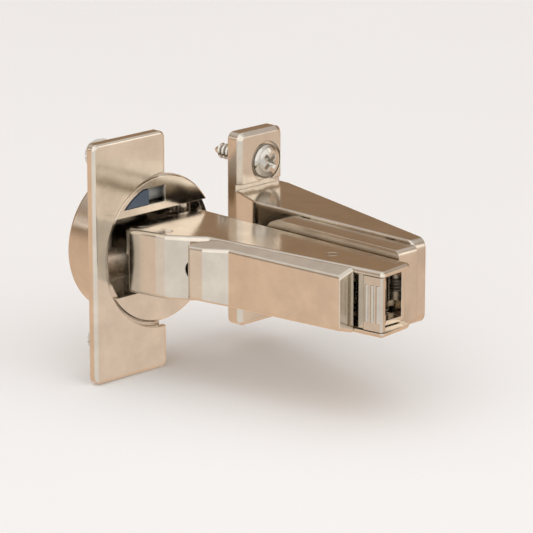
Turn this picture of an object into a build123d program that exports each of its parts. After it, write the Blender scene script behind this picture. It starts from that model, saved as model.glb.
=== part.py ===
from build123d import *
import os
from math import atan2, cos, degrees, hypot, pi, sin

# Concealed hinge for a door beside a blind strip, door closed, in millimetres.
# +X runs along the strip away from the door, +Y goes into the wood, +Z is up.
# The origin is on the bracket's back face, halfway between its two screws.

os.makedirs("parts", exist_ok=True)

# Running clearances
PIN_CLEARANCE = 0.05
SLIDE_CLEARANCE = 0.15
FREE_CLEARANCE = 0.3

# Bracket: two wings on the strip and a web that stands out from them
SCREW_PITCH = 32.0
SCREW_SHANK_R = 1.9
SCREW_DEPTH = 14.0
SCREW_HEAD_R = 4.2
SCREW_HEAD_HEIGHT = 2.3
SCREW_RECESS = 0.8
BRACKET_HEIGHT = SCREW_PITCH + 16.0
WING_LEFT = -9.1
WING_RIGHT = 5.8
WING_THICKNESS = 4.0
WING_INNER = 11.4
ROOT_THICKNESS = 2.6
WEB_HEIGHT = 20.0
WEB_LEFT = -13.1
WEB_REACH = 64.6
WEB_TIP_THICKNESS = 3.9

# Rail plate on the web's left face, moved up and down by its cam
RAIL_HEIGHT = 18.4
RAIL_LEFT = -19.4
RAIL_START = -22.6
RAIL_END = -65.6
HEIGHT_TRAVEL = 2.0
HEIGHT_CAM_Y = -43.0
HEIGHT_CAM_R = 4.4
CAM_THROW = 2.2
CAM_SLOT_CLEARANCE = 0.25
CAM_SHANK_R = 2.0

# Widths from the outside in: arm, clip base, lever's cheeks and hook
ARM_HALF_WIDTH = 7.7
ARM_WALL = 1.2
ARM_INNER = ARM_HALF_WIDTH - ARM_WALL
CLIP_HALF_WIDTH = ARM_INNER - 0.2
CLIP_WALL = 1.1
CHEEK_FAR = CLIP_HALF_WIDTH - CLIP_WALL - FREE_CLEARANCE
CHEEK_NEAR = CHEEK_FAR - 1.9
HOOK_FAR = CHEEK_FAR - 0.6
HOOK_WINDOW = HOOK_FAR + FREE_CLEARANCE

# Clip base that hooks on the rail, with the arm's slide block inside
CLIP_BACK = -20.0
CLIP_FRONT = -30.0
BLOCK_FRONT = -29.4
BLOCK_START = -31.4
BLOCK_END = -56.2
HOOK_PIN = (-22.4, -27.2)
DEPTH_TRAVEL = 2.0
DEPTH_CAM_Y = -45.0
SIDE_SCREW_Y = -35.2
TILT_PIN = (-27.8, -52.9)
TILT_PIN_R = 1.5
LEVER_PIN = (-26.0, -61.2)
LEVER_PIN_R = 1.1

# Arm: a channel, open towards the rail, that tapers to the rear
ARM_EDGE_R = 1.1
ARM_FRONT_END = -62.0
STEP_HOLE_R = 2.6
ARM_BASE_X = -20.3
ARM_REAR = (-31.3, -71.8)
ARM_STEP_LOW = (-37.8, -22.6)
ARM_STEP_MID = (-40.6, -19.4)
ARM_STEP_HIGH = (-43.6, -14.8)
ARM_NOSE_BEND = (-44.3, -12.0)
ARM_NOSE_END = (-45.6, -4.2)

# Cap on the arm
CAP_TOP_HALF_WIDTH = ARM_HALF_WIDTH - 1.4
CAP_WALL = 0.9
CAP_EDGE_R = 0.9
CAP_START = (-42.4, -20.9)
CAP_BAND_END = (-42.3, -25.4)
CAP_FACET_END = (-39.9, -31.6)
CAP_END = (-36.9, -63.9)

# Link pivots, door closed
OUTER_ARM_PIVOT = (-42.08, -5.68)
OUTER_CUP_PIVOT = (-22.46, 2.29)
INNER_ARM_PIVOT = (-40.5, -12.23)
INNER_CUP_PIVOT = (-20.51, 6.25)
LINK_PIN_R = 1.1
CUP_PIN_R = 0.9
LINK_HALF_THICKNESS = 1.3
OPEN_PIVOT_CLEARANCE = 2.0

# Layers across the hinge: outer link's ears, cup's lugs, inner link
EAR_FAR = ARM_INNER - SLIDE_CLEARANCE
EAR_NEAR = EAR_FAR - 1.2
LUG_FAR = EAR_NEAR - 0.2
LUG_NEAR = LUG_FAR - 1.7
INNER_LINK_HALF = LUG_NEAR - 0.25

# Cup in the door
CUP_X = -32.5
CUP_R = 17.5
CUP_DEPTH = 12.4
CUP_WALL = 1.2
CUP_CHANNEL_HALF = ARM_HALF_WIDTH + 1.8
CUP_RIM_R = CUP_R + 0.4
CUP_RIM = 0.6
COVER_R = CUP_R + 0.2
COVER_THICKNESS = 0.8
DAMPER_R = 2.1
DAMPER_Z = CUP_CHANNEL_HALF + CUP_WALL + DAMPER_R + SLIDE_CLEARANCE
DOWEL_PITCH = 45.0
DOWEL_OFFSET = 9.5
DOWEL_R = 4.0
DOWEL_DEPTH = 11.0
WEDGE_TRAVEL = 1.2
SWITCH_TRAVEL = 3.5

# Flange cover, a flap that hides the dowels
FLAP_LEFT = -54.8
FLAP_RIGHT = -32.0
FLAP_HEIGHT = 57.5
FLAP_PROUD = 2.6
FLAP_WALL = 0.9
FLAP_CUT_R = CUP_R + 1.3
FLAP_PIN_R = 0.45
FLAP_PIN = (FLAP_LEFT + 1.2, -0.85)
FLAP_BARREL_R = 0.8
KNUCKLE_HALF = 1.2
KNUCKLES = (3.75 - FLAP_HEIGHT / 2, 0.0, FLAP_HEIGHT / 2 - 3.75)


def outline(points):
    """Flat face from (x, y) or (x, y, corner radius) points."""
    face = make_face(Polyline(*[(p[0], p[1]) for p in points], close=True))
    for p in points:
        if len(p) == 3:
            corner = face.vertices().sort_by_distance(Vector(p[0], p[1], 0))[0]
            face = fillet(corner, p[2])
    return face


def prism(points, z_low, z_high):
    """Side outline carried along Z."""
    shape = extrude(outline(points), amount=z_high - z_low, dir=(0, 0, 1))
    return Pos(0, 0, z_low) * shape


def mirrored_prism(points, z_near, z_far):
    """The same side outline above and below the middle plane."""
    shape = prism(points, z_near, z_far)
    return shape + mirror(shape, about=Plane.XY)


def box(x0, x1, y0, y1, z0, z1):
    """Box between two corners."""
    centre = ((x0 + x1) / 2, (y0 + y1) / 2, (z0 + z1) / 2)
    return Pos(*centre) * Box(abs(x1 - x0), abs(y1 - y0), abs(z1 - z0))


def pin_z(point, radius, z0, z1):
    """Round pin along Z."""
    return Pos(point[0], point[1], (z0 + z1) / 2) * Cylinder(radius, z1 - z0)


def rod_x(y, z, radius, x0, x1):
    """Round rod along X."""
    return Pos((x0 + x1) / 2, y, z) * Rot(0, 90, 0) * Cylinder(radius, x1 - x0)


def rod_y(x, z, radius, y0, y1):
    """Round rod along Y."""
    return Pos(x, (y0 + y1) / 2, z) * Rot(90, 0, 0) * Cylinder(radius, y1 - y0)


def slot_x(y0, y1, z0, z1, radius, x0, x1):
    """Rounded slot between two centres, cut along X."""
    length = hypot(y1 - y0, z1 - z0)
    angle = degrees(atan2(z1 - z0, y1 - y0))
    middle = Pos(0, (y0 + y1) / 2, (z0 + z1) / 2) * Rot(angle, 0, 0)
    bar = middle * Pos((x0 + x1) / 2, 0, 0) * Box(x1 - x0, length, 2 * radius)
    return bar + rod_x(y0, z0, radius, x0, x1) + rod_x(y1, z1, radius, x0, x1)


def slot_z(point, reach, radius, z0, z1):
    """Rounded slot along Y, cut along Z."""
    low = (point[0], point[1] - reach)
    high = (point[0], point[1] + reach)
    bar = box(point[0] - radius, point[0] + radius, low[1], high[1], z0, z1)
    return bar + pin_z(low, radius, z0, z1) + pin_z(high, radius, z0, z1)


def hex_rod_x(y, z, across, x0, x1):
    """Six-sided rod along X, for driver sockets."""
    profile = Plane.YZ * RegularPolygon(across / 2, 6, major_radius=False)
    return Pos(x0, y, z) * extrude(profile, amount=x1 - x0, dir=(1, 0, 0))


def on_front_plane(y, lift=0.0):
    """Point on the arm's long front face, lifted off it along -X."""
    slope = (ARM_REAR[0] - ARM_STEP_LOW[0]) / (ARM_REAR[1] - ARM_STEP_LOW[1])
    return (ARM_STEP_LOW[0] + (y - ARM_STEP_LOW[1]) * slope - lift, y)


def screw_heights():
    return (-SCREW_PITCH / 2, SCREW_PITCH / 2)


# Bracket and its screws
def web_outline():
    tip = -WEB_REACH
    return [
        (WING_LEFT, 0),
        (WING_LEFT, -3.0, 6),
        (WEB_LEFT, -13.0, 8),
        (WEB_LEFT, tip),
        (WEB_LEFT + WEB_TIP_THICKNESS, tip),
        (WING_RIGHT, -6.0, 3),
        (WING_RIGHT, 0),
    ]


def bracket_wing(side):
    """One wing with its screw hole and counterbore."""
    inner = side * WING_INNER
    outer = side * BRACKET_HEIGHT / 2
    wing = box(WING_LEFT, WING_RIGHT, -WING_THICKNESS, 0, min(inner, outer), max(inner, outer))
    wing = fillet(wing.edges().filter_by(Axis.Y).group_by(Axis.Z)[-1 if side > 0 else 0], 2.0)
    front = wing.faces().sort_by(Axis.Y)[0]
    left = front.edges().sort_by(Axis.X)[0]
    return chamfer(left, 1.0)


def tongue_outline(y, clearance):
    """T-shaped tongue of the rail plate, or its groove with the clearance added."""
    neck = 1.3 + clearance
    head = 2.4 + clearance
    return [
        (RAIL_LEFT + 3.0, y - neck),
        (WEB_LEFT + 1.3 - clearance, y - neck),
        (WEB_LEFT + 1.3 - clearance, y - head),
        (WEB_LEFT + 2.6 + clearance, y - head),
        (WEB_LEFT + 2.6 + clearance, y + head),
        (WEB_LEFT + 1.3 - clearance, y + head),
        (WEB_LEFT + 1.3 - clearance, y + neck),
        (RAIL_LEFT + 3.0, y + neck),
    ]


TONGUE_CENTRES = (-30.0, -57.0)
TONGUE_HALF = 7.0


def mounting_bracket():
    web = prism(web_outline(), -WEB_HEIGHT / 2, WEB_HEIGHT / 2)
    tip = web.faces().sort_by(Axis.Y)[0].edges().filter_by(Axis.X)
    web = fillet(tip, 2.4)
    web = chamfer(web.faces().sort_by(Axis.Y)[0].edges(), 0.3)
    root = box(WING_LEFT, WING_RIGHT, -ROOT_THICKNESS, 0, -WING_INNER, WING_INNER)
    body = web + root + bracket_wing(1) + bracket_wing(-1)
    for z in screw_heights():
        body -= rod_y(0, z, SCREW_SHANK_R + 0.25, -WING_THICKNESS - 1, 1)
        body -= rod_y(0, z, SCREW_HEAD_R + 0.7, -WING_THICKNESS - 1, SCREW_RECESS - WING_THICKNESS)
    groove_half = TONGUE_HALF + HEIGHT_TRAVEL + FREE_CLEARANCE
    for y in TONGUE_CENTRES:
        body -= prism(tongue_outline(y, SLIDE_CLEARANCE), -groove_half, groove_half)
    body -= rod_x(HEIGHT_CAM_Y, 0, CAM_SHANK_R + PIN_CLEARANCE, WEB_LEFT - 1, 2)
    return body


def bracket_screw(z):
    """Pan-head screw through the wing into the strip."""
    seat = SCREW_RECESS - WING_THICKNESS
    top = seat - SCREW_HEAD_HEIGHT
    dome = ThreePointArc((SCREW_HEAD_R, seat - 1.0), (SCREW_HEAD_R * 0.68, top + 0.25), (0, top))
    sides = Polyline((0, top), (0, seat), (SCREW_HEAD_R, seat), (SCREW_HEAD_R, seat - 1.0))
    head = revolve(make_face([dome, sides]), Axis.Y)
    neck = rod_y(0, 0, SCREW_SHANK_R - 0.2, seat, 0.3)
    shank = rod_y(0, 0, SCREW_SHANK_R, 0.3, SCREW_DEPTH - 2.5)
    tip = Pos(0, SCREW_DEPTH - 1.25, 0) * Rot(-90, 0, 0) * Cone(SCREW_SHANK_R, 0.3, 2.5)
    screw = head + neck + shank + tip
    for angle in (0, 90):
        screw -= Pos(0, top + 0.6, 0) * Rot(0, angle + 45, 0) * Box(4.6, 2.2, 0.9)
    return Pos(0, 0, z) * screw


# Rail plate and its cam
def lever_window():
    """Window of the rail for the lever's hook, wider behind its ledge."""
    wide = HOOK_WINDOW
    window = box(RAIL_LEFT - 1, RAIL_LEFT + 1.9, -62.6, -55.0, -wide, wide)
    return window + box(RAIL_LEFT + 1.9, -14.8, -64.6, -55.0, -wide, wide)


def rail_plate():
    half = RAIL_HEIGHT / 2
    right = WEB_LEFT - SLIDE_CLEARANCE
    body = box(RAIL_LEFT, right, RAIL_END, RAIL_START, -half, half)
    front = body.edges().filter_by(Axis.X).group_by(Axis.Y)[-1]
    body = fillet(front, 5.0)
    rear = body.edges().filter_by(Axis.X).group_by(Axis.Y)[0]
    body = fillet(rear, 1.5)
    for y in TONGUE_CENTRES:
        body += prism(tongue_outline(y, 0), -TONGUE_HALF, TONGUE_HALF)
    reach = CAM_THROW * (1 - cos(pi / 3)) / 2
    middle = HEIGHT_CAM_Y + CAM_THROW - reach
    body -= slot_x(
        middle - reach, middle + reach, 0, 0,
        HEIGHT_CAM_R + CAM_SLOT_CLEARANCE, WEB_LEFT - 3.4, WEB_LEFT + 1,
    )
    body -= lever_window()
    ear = box(HOOK_PIN[0] - 1.9, RAIL_LEFT + 1, HOOK_PIN[1] - 1.9, HOOK_PIN[1] + 1.9, -2.0, 2.0)
    body += fillet(ear.edges().filter_by(Axis.Z).group_by(Axis.X)[0], 1.8)
    body -= pin_z(HOOK_PIN, 1.2, -10, 10)
    return body


def rail_hook_pin():
    return pin_z(HOOK_PIN, 1.2, -CLIP_HALF_WIDTH + 0.2, CLIP_HALF_WIDTH - 0.2)


def height_cam():
    """Shank in the web with an eccentric disc in the rail plate's slot."""
    shank = rod_x(HEIGHT_CAM_Y, 0, CAM_SHANK_R, WEB_LEFT - 0.4, -3.6)
    disc = rod_x(HEIGHT_CAM_Y + CAM_THROW, 0, HEIGHT_CAM_R, WEB_LEFT - 3.1, WEB_LEFT - 0.3)
    return shank + disc - hex_rod_x(HEIGHT_CAM_Y, 0, 2.4, -6.4, 0)


# Clip base, slide block and their screws
def clip_base():
    inner = CLIP_HALF_WIDTH - CLIP_WALL
    body = box(CLIP_FRONT, CLIP_BACK, -68.0, -25.0, -CLIP_HALF_WIDTH, CLIP_HALF_WIDTH)
    body = fillet(body.edges().filter_by(Axis.Y).group_by(Axis.X)[-1], 1.5)
    body -= box(CLIP_FRONT - 1, CLIP_BACK - CLIP_WALL, -70, -20, -inner, inner)
    body -= box(CLIP_FRONT - 1, CLIP_BACK - 4.6, -30.2, -20, -10, 10)
    body -= box(CLIP_FRONT - 1, CLIP_FRONT + 1.9, -70, -63.9, -10, 10)
    body -= box(-30, -10, HOOK_PIN[1] - 2.6, -20, -2.3, 2.3)
    body -= pin_z(HOOK_PIN, 1.2 + PIN_CLEARANCE, -10, 10)
    body -= box(CLIP_BACK - 2.2, CLIP_BACK + 1, -64.0, -55.4, -HOOK_WINDOW, HOOK_WINDOW)
    body -= slot_z(TILT_PIN, DEPTH_TRAVEL + 0.2, TILT_PIN_R + SLIDE_CLEARANCE, -10, 10)
    body -= pin_z(LEVER_PIN, LEVER_PIN_R, -10, 10)
    body -= rod_x(DEPTH_CAM_Y, 0, CAM_SHANK_R + PIN_CLEARANCE, -22, -18)
    return body


def lever_pin():
    return pin_z(LEVER_PIN, LEVER_PIN_R, -CLIP_HALF_WIDTH + 0.1, CLIP_HALF_WIDTH - 0.1)


def slide_block():
    half = CLIP_HALF_WIDTH - CLIP_WALL - SLIDE_CLEARANCE
    back = CLIP_BACK - CLIP_WALL - SLIDE_CLEARANCE
    body = box(BLOCK_FRONT, back, BLOCK_END, BLOCK_START, -half, half)
    body = fillet(body.edges().filter_by(Axis.Z).group_by(Axis.X)[0], 2.0)
    body -= pin_z(TILT_PIN, TILT_PIN_R + PIN_CLEARANCE, -10, 10)
    low = CAM_THROW / 2
    body -= slot_x(
        DEPTH_CAM_Y, DEPTH_CAM_Y, low, CAM_THROW,
        CAM_SHANK_R + CAM_SLOT_CLEARANCE, -24.0, -20,
    )
    body -= slot_x(
        DEPTH_CAM_Y - DEPTH_TRAVEL, DEPTH_CAM_Y + DEPTH_TRAVEL, 0, 0,
        CAM_SHANK_R + PIN_CLEARANCE, -22.0, -20,
    )
    body -= slot_x(
        DEPTH_CAM_Y - DEPTH_TRAVEL, DEPTH_CAM_Y + DEPTH_TRAVEL, 0, 0,
        3.5 + FREE_CLEARANCE, -35, -23.6,
    )
    body -= rod_x(SIDE_SCREW_Y, 0, 2.0 + PIN_CLEARANCE, -35, -20)
    body -= rod_x(SIDE_SCREW_Y, 0, 3.0 + PIN_CLEARANCE, -24.4, -20)
    return body


def depth_cam():
    """Flat head, eccentric pin and a shank held by the clip base."""
    shank = rod_x(DEPTH_CAM_Y, 0, CAM_SHANK_R, CLIP_BACK - CLIP_WALL - 0.3, CLIP_BACK)
    disc = rod_x(DEPTH_CAM_Y, CAM_THROW, CAM_SHANK_R, -23.9, CLIP_BACK - CLIP_WALL - 0.25)
    head = rod_x(DEPTH_CAM_Y, 0, 3.5, -26.4, -23.8)
    recess = Pos(-26.4, DEPTH_CAM_Y, 0) * Box(2.0, 4.8, 0.9)
    cross = Pos(-26.4, DEPTH_CAM_Y, 0) * Box(2.0, 0.9, 4.8)
    return shank + disc + head - recess - cross


def side_screw():
    """Screw held in the slide block, its outer end in the arm's front wall."""
    tip = on_front_plane(SIDE_SCREW_Y)[0] - 0.9
    shank = rod_x(SIDE_SCREW_Y, 0, 2.0, tip, -22.0)
    collar = rod_x(SIDE_SCREW_Y, 0, 3.0, -24.3, -22.0)
    recess = Pos(tip, SIDE_SCREW_Y, 0) * Box(2.4, 3.2, 0.8)
    return shank + collar - recess - Pos(tip, SIDE_SCREW_Y, 0) * Box(2.4, 0.8, 3.2)


# Release lever
LEVER_SHELF_START = -64.4
LEVER_SHELF_DEPTH = 0.65
LEVER_FACE_START = -66.2
LEVER_FACE_END = -71.4


def release_lever():
    start = on_front_plane(LEVER_FACE_START, -0.1)
    end = on_front_plane(LEVER_FACE_END, -0.1)
    shelf = on_front_plane(LEVER_SHELF_START, -LEVER_SHELF_DEPTH)
    corner = on_front_plane(LEVER_FACE_START, -LEVER_SHELF_DEPTH)
    plate = prism([
        (shelf[0], shelf[1], 0.25),
        (corner[0], corner[1]),
        (start[0], start[1], 0.3),
        (end[0], end[1], 0.5),
        (end[0] + 1.6, end[1] + 0.1, 0.5),
        (shelf[0] + 1.1, shelf[1], 0.3),
    ], -CLIP_HALF_WIDTH, CLIP_HALF_WIDTH)
    for index in range(3):
        point = on_front_plane(LEVER_FACE_START - 1.1 - index * 1.5, -0.2)
        plate += Pos(point[0], point[1], 0) * Cylinder(0.5, 8.6)
    cheek = [
        (start[0] + 0.6, start[1] - 0.2, 0.3),
        (end[0] + 0.8, end[1] + 1.2, 0.5),
        (end[0] + 3.2, end[1] + 1.6, 0.8),
        (LEVER_PIN[0] + 1.9, LEVER_PIN[1] - 2.0, 1.0),
        (LEVER_PIN[0] + 1.9, LEVER_PIN[1] + 2.0, 1.8),
        (LEVER_PIN[0] - 2.0, LEVER_PIN[1] + 2.0, 1.8),
    ]
    body = plate + mirrored_prism(cheek, CHEEK_NEAR, CHEEK_FAR)
    stem = [
        (LEVER_PIN[0] + 1.2, LEVER_PIN[1] + 1.2),
        (LEVER_PIN[0] + 1.2, LEVER_PIN[1] - 1.6),
        (-17.3, -62.3, 0.3),
        (-17.2, -64.0, 0.3),
        (-15.4, -62.6, 0.4),
        (-15.3, -60.4, 0.5),
        (-19.0, -60.0, 1.0),
    ]
    body += mirrored_prism(stem, CHEEK_NEAR, HOOK_FAR)
    bridge = [
        (LEVER_PIN[0] + 3.0, LEVER_PIN[1] - 1.2),
        (-17.4, -62.2),
        (-17.4, -60.6),
        (LEVER_PIN[0] + 3.0, LEVER_PIN[1] + 0.2),
    ]
    body += prism(bridge, -CHEEK_NEAR - 0.1, CHEEK_NEAR + 0.1)
    return body - pin_z(LEVER_PIN, LEVER_PIN_R + PIN_CLEARANCE, -10, 10)


def lever_spring():
    """Torsion spring on the lever's pin, with one leg to the lever's plate."""
    coil = Helix(pitch=0.75, height=3.375, radius=1.7, center=(LEVER_PIN[0], LEVER_PIN[1], -1.7))
    start = coil @ 0
    wire = Plane(origin=start, z_dir=coil % 0) * Circle(0.3)
    spring = sweep(wire, path=coil)
    leg_end = on_front_plane(-67.5, -2.0)
    end = coil @ 1
    leg = Edge.make_line(end, (leg_end[0], leg_end[1], end.Z))
    profile = Plane(origin=end, z_dir=leg % 0) * Circle(0.3)
    return spring + sweep(profile, path=leg)


# Arm, its pins and the closing spring
def arm_outline():
    return [
        (ARM_BASE_X, -70.4, 1.5),
        (ARM_REAR[0], ARM_REAR[1], 0.8),
        (ARM_STEP_LOW[0], ARM_STEP_LOW[1], 2.5),
        (ARM_STEP_MID[0], ARM_STEP_MID[1], 2.5),
        (ARM_STEP_HIGH[0], ARM_STEP_HIGH[1], 2.5),
        (ARM_NOSE_BEND[0], ARM_NOSE_BEND[1], 2.0),
        (ARM_NOSE_END[0], ARM_NOSE_END[1], 0.6),
        (ARM_NOSE_END[0] + 1.8, -2.4, 1.2),
        (-36.0, -1.5, 3.0),
        (ARM_BASE_X, -1.5, 2.5),
    ]


def arm_channel():
    face = outline(arm_outline())
    half = ARM_HALF_WIDTH
    inner = ARM_INNER
    body = Pos(0, 0, -half) * extrude(face, amount=2 * half, dir=(0, 0, 1))
    front = body.edges().filter_by(lambda e: abs(abs(e.center().Z) - half) < 0.01)
    front = front.filter_by(lambda e: e.center().X < -31.4 and e.center().Y < -4)
    body = fillet(front, ARM_EDGE_R)
    hollow = Pos(ARM_WALL, 0, -inner) * extrude(face, amount=2 * inner, dir=(0, 0, 1))
    body -= hollow
    body -= box(-60, 0, -80, ARM_FRONT_END, -inner, inner)
    body -= box(-44.3, 0, -4.6, 5, -inner, inner)
    body -= box(ARM_BASE_X - 2, 0, -80, 5, -inner, inner)
    body -= rod_x(SIDE_SCREW_Y, 0, 2.7, -45, -30)
    body -= slot_x(DEPTH_CAM_Y - 2, DEPTH_CAM_Y + 2, 0, 0, 3.6, -45, -30)
    body -= slot_x(ARM_FRONT_END + 3.4, ARM_FRONT_END + 6.5, 0, 0, 2.2, -45, -30)
    run = (ARM_STEP_LOW[0] - ARM_STEP_MID[0], ARM_STEP_LOW[1] - ARM_STEP_MID[1])
    place = (ARM_STEP_MID[0] + 0.4 * run[0], ARM_STEP_MID[1] + 0.4 * run[1])
    square_on = Pos(place[0], place[1], 0) * Rot(0, 0, degrees(atan2(run[0], -run[1])))
    body -= square_on * rod_x(0, 0, STEP_HOLE_R, -2.5, 2.5)
    for point, radius in ((OUTER_ARM_PIVOT, LINK_PIN_R), (INNER_ARM_PIVOT, LINK_PIN_R)):
        body -= pin_z(point, radius, -10, 10)
    body -= pin_z(TILT_PIN, TILT_PIN_R, -10, 10)
    return body


def headed_pin(point, radius, half):
    """Riveted pin through both side walls."""
    body = pin_z(point, radius, -half, half)
    return chamfer(body.edges(), 0.2)


def cap_solid(inset):
    """Cap as a solid wedge, smaller on every side by the inset."""
    base = -0.1 if inset == 0 else 1.0
    low = on_front_plane(CAP_END[1] + inset, -base if inset else 0.1)
    high = on_front_plane(-23.6, -base if inset else 0.1)
    points = [
        (low[0], low[1]),
        (high[0], high[1]),
        (-39.9 + (1.5 if inset else 0), CAP_START[1] - 0.4 - inset),
        (CAP_START[0] + inset, CAP_START[1] - inset),
        (CAP_START[0] - 0.5 + inset, CAP_START[1] - 1.1),
        (CAP_BAND_END[0] + inset, CAP_BAND_END[1]),
        (CAP_FACET_END[0] + inset, CAP_FACET_END[1]),
        (CAP_END[0] + inset, CAP_END[1] + inset),
    ]
    return prism(points, -10, 10)


def cap_section(inset):
    """Trapezoid of the cap, carried along the arm's front face."""
    top = on_front_plane(-22.6)
    end = on_front_plane(-62.6)
    direction = Vector(end[0] - top[0], end[1] - top[1], 0).normalized()
    start = Vector(top[0], top[1], 0) - direction * 8
    plane = Plane(origin=start, x_dir=(0, 0, 1), z_dir=direction)
    outward = plane.y_dir.X
    sign = -1 if outward > 0 else 1
    base = ARM_HALF_WIDTH - inset
    upper = CAP_TOP_HALF_WIDTH - inset
    points = [
        (-base - 0.35, -1.5 * sign),
        (base + 0.35, -1.5 * sign),
        (upper - 0.6, 6.5 * sign),
        (-upper + 0.6, 6.5 * sign),
    ]
    return extrude(plane * make_face(Polyline(*points, close=True)), amount=56, dir=direction)


def cover_cap():
    body = cap_solid(0) & cap_section(0)
    rims = body.edges().filter_by(lambda e: e.length > 3.0 and abs(e.center().Z) > 4)
    rims = rims.filter_by(lambda e: e.center().X < on_front_plane(e.center().Y)[0] - 1.0)
    body = fillet(rims, CAP_EDGE_R)
    return body - (cap_solid(CAP_WALL) & cap_section(CAP_WALL))


def closing_spring():
    """Leaf spring from the arm's step to the inner link."""
    path = Spline((-39.6, -17.6), (-35.6, -21.0), (-33.2, -17.0), (-34.8, -12.4), (-38.3, -12.9))
    leaf = trace(path, line_width=0.5)
    return Pos(0, 0, -2.8) * extrude(leaf, amount=5.6, dir=(0, 0, 1))


# Links
def bar_outline(points, half):
    """Bent bar of even width through the points."""
    line = Polyline(*points)
    return trace(line, line_width=2 * half)


def link_plate(points, z0, z1, eye):
    """Bent plate with a round eye at each end."""
    shape = Pos(0, 0, z0) * extrude(bar_outline(points, LINK_HALF_THICKNESS), amount=z1 - z0, dir=(0, 0, 1))
    for point in points[1:-1]:
        shape += pin_z(point, LINK_HALF_THICKNESS, z0, z1)
    for point in (points[0], points[-1]):
        shape += pin_z(point, eye, z0, z1)
    return shape


def outer_link():
    points = (OUTER_ARM_PIVOT, (-38.81, -3.17), (-27.48, 2.92), OUTER_CUP_PIVOT)
    ear = link_plate(points, EAR_NEAR, EAR_FAR, 1.9)
    body = ear + mirror(ear, about=Plane.XY)
    across = EAR_NEAR + 0.15
    body += pin_z(OUTER_ARM_PIVOT, 1.75, -across, across)
    web = bar_outline(points[:2], LINK_HALF_THICKNESS - 0.2)
    body += Pos(0, 0, -across) * extrude(web, amount=2 * across, dir=(0, 0, 1))
    body -= pin_z(OUTER_ARM_PIVOT, LINK_PIN_R + PIN_CLEARANCE, -10, 10)
    body -= pin_z(OUTER_CUP_PIVOT, CUP_PIN_R + PIN_CLEARANCE, -10, 10)
    return body


def inner_link():
    points = (INNER_ARM_PIVOT, (-35.21, -5.87), (-33.44, 7.17), INNER_CUP_PIVOT)
    body = link_plate(points, -INNER_LINK_HALF, INNER_LINK_HALF, 1.9)
    body -= pin_z(INNER_ARM_PIVOT, LINK_PIN_R + PIN_CLEARANCE, -10, 10)
    body -= pin_z(INNER_CUP_PIVOT, CUP_PIN_R, -10, 10)
    return body


# Cup and what it carries
def cup_disc(radius, y0, y1):
    return rod_y(CUP_X, 0, radius, y0, y1)


def beyond(z):
    """Half space above a height."""
    return box(-80, 20, -20, 40, z, 60)


def cup_lug():
    """Two plates from the cup's floor around the inner link's pin."""
    eye = INNER_CUP_PIVOT
    radius = 3.7
    plate = [
        (eye[0] - radius, eye[1]),
        (eye[0] - radius - 1.0, 11.6),
        (-16.0, 11.6),
        (-16.0, eye[1]),
    ]
    round_top = pin_z(eye, radius, LUG_NEAR, LUG_FAR)
    lug = mirrored_prism(plate, LUG_NEAR, LUG_FAR) + round_top + mirror(round_top, about=Plane.XY)
    return lug - pin_z(eye, CUP_PIN_R + OPEN_PIVOT_CLEARANCE, -10, 10)


def flange_base():
    """Thin plate under the flange cover, with three knuckles for its pin."""
    half = FLAP_HEIGHT / 2 - 0.9
    left = FLAP_PIN[0] + 1.1
    plate = box(left, FLAP_RIGHT - 0.9, -0.8, 0, -half, half)
    for z in KNUCKLES:
        low = z - KNUCKLE_HALF
        high = z + KNUCKLE_HALF
        plate += box(FLAP_PIN[0], left + 0.1, -0.8, -0.1, low, high)
        plate += pin_z(FLAP_PIN, FLAP_BARREL_R - 0.05, low, high)
    return plate - cup_disc(COVER_R + 0.2, -3, -CUP_RIM)


def hinge_cup():
    body = cup_disc(CUP_R, 0, CUP_DEPTH) + cup_disc(CUP_RIM_R, -CUP_RIM, 0.0)
    bottom = body.faces().sort_by(Axis.Y)[-1].edges()
    body = fillet(bottom, 0.8)
    body += flange_base()
    bore = cup_disc(CUP_R - CUP_WALL, -5, CUP_DEPTH - 1.0)
    channel = bore & box(-60, 0, -5, 20, -CUP_CHANNEL_HALF, CUP_CHANNEL_HALF)
    pocket = cup_disc(CUP_R - CUP_WALL, -5, 7.4) & beyond(CUP_CHANNEL_HALF + CUP_WALL)
    body -= channel + pocket + mirror(pocket, about=Plane.XY)
    body -= box(CUP_X + 10, -10, -5, 0.4, -CUP_CHANNEL_HALF, CUP_CHANNEL_HALF)
    boss = pin_z(OUTER_CUP_PIVOT, 2.2, EAR_FAR + 0.25, CUP_CHANNEL_HALF + 0.1)
    body += boss + mirror(boss, about=Plane.XY)
    pin_end = CUP_CHANNEL_HALF + 1.0
    body -= pin_z(OUTER_CUP_PIVOT, CUP_PIN_R, -pin_end, pin_end)
    body += cup_lug() & cup_disc(CUP_R - 0.5, -5, CUP_DEPTH)
    for z in (-DOWEL_PITCH / 2, DOWEL_PITCH / 2):
        body -= rod_y(CUP_X - DOWEL_OFFSET, z, 2.3, -3, 1)
    body -= pin_z(FLAP_PIN, FLAP_PIN_R, -40, 40)
    return body


def cup_pins():
    near = EAR_NEAR
    far = CUP_CHANNEL_HALF + 0.9
    pin = chamfer(pin_z(OUTER_CUP_PIVOT, CUP_PIN_R, near, far).edges(), 0.15)
    return pin, mirror(pin, about=Plane.XY)


def switch_window():
    """Opening of the upper cover for the soft-close switch."""
    window = box(-45, -31.2, -5, 2, 11.3, 15.3)
    return window & cup_disc(COVER_R - 1.4, -5, 2)


def cup_cover(side):
    """Thin plate over one damper pocket, its inner edge along the channel."""
    top = -CUP_RIM - COVER_THICKNESS
    disc = cup_disc(COVER_R, top, -CUP_RIM)
    disc = chamfer(disc.faces().sort_by(Axis.Y)[0].edges(), 0.3)
    plate = disc & beyond(CUP_CHANNEL_HALF)
    if side > 0:
        plate -= switch_window()
        return plate
    return mirror(plate, about=Plane.XY)


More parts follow.
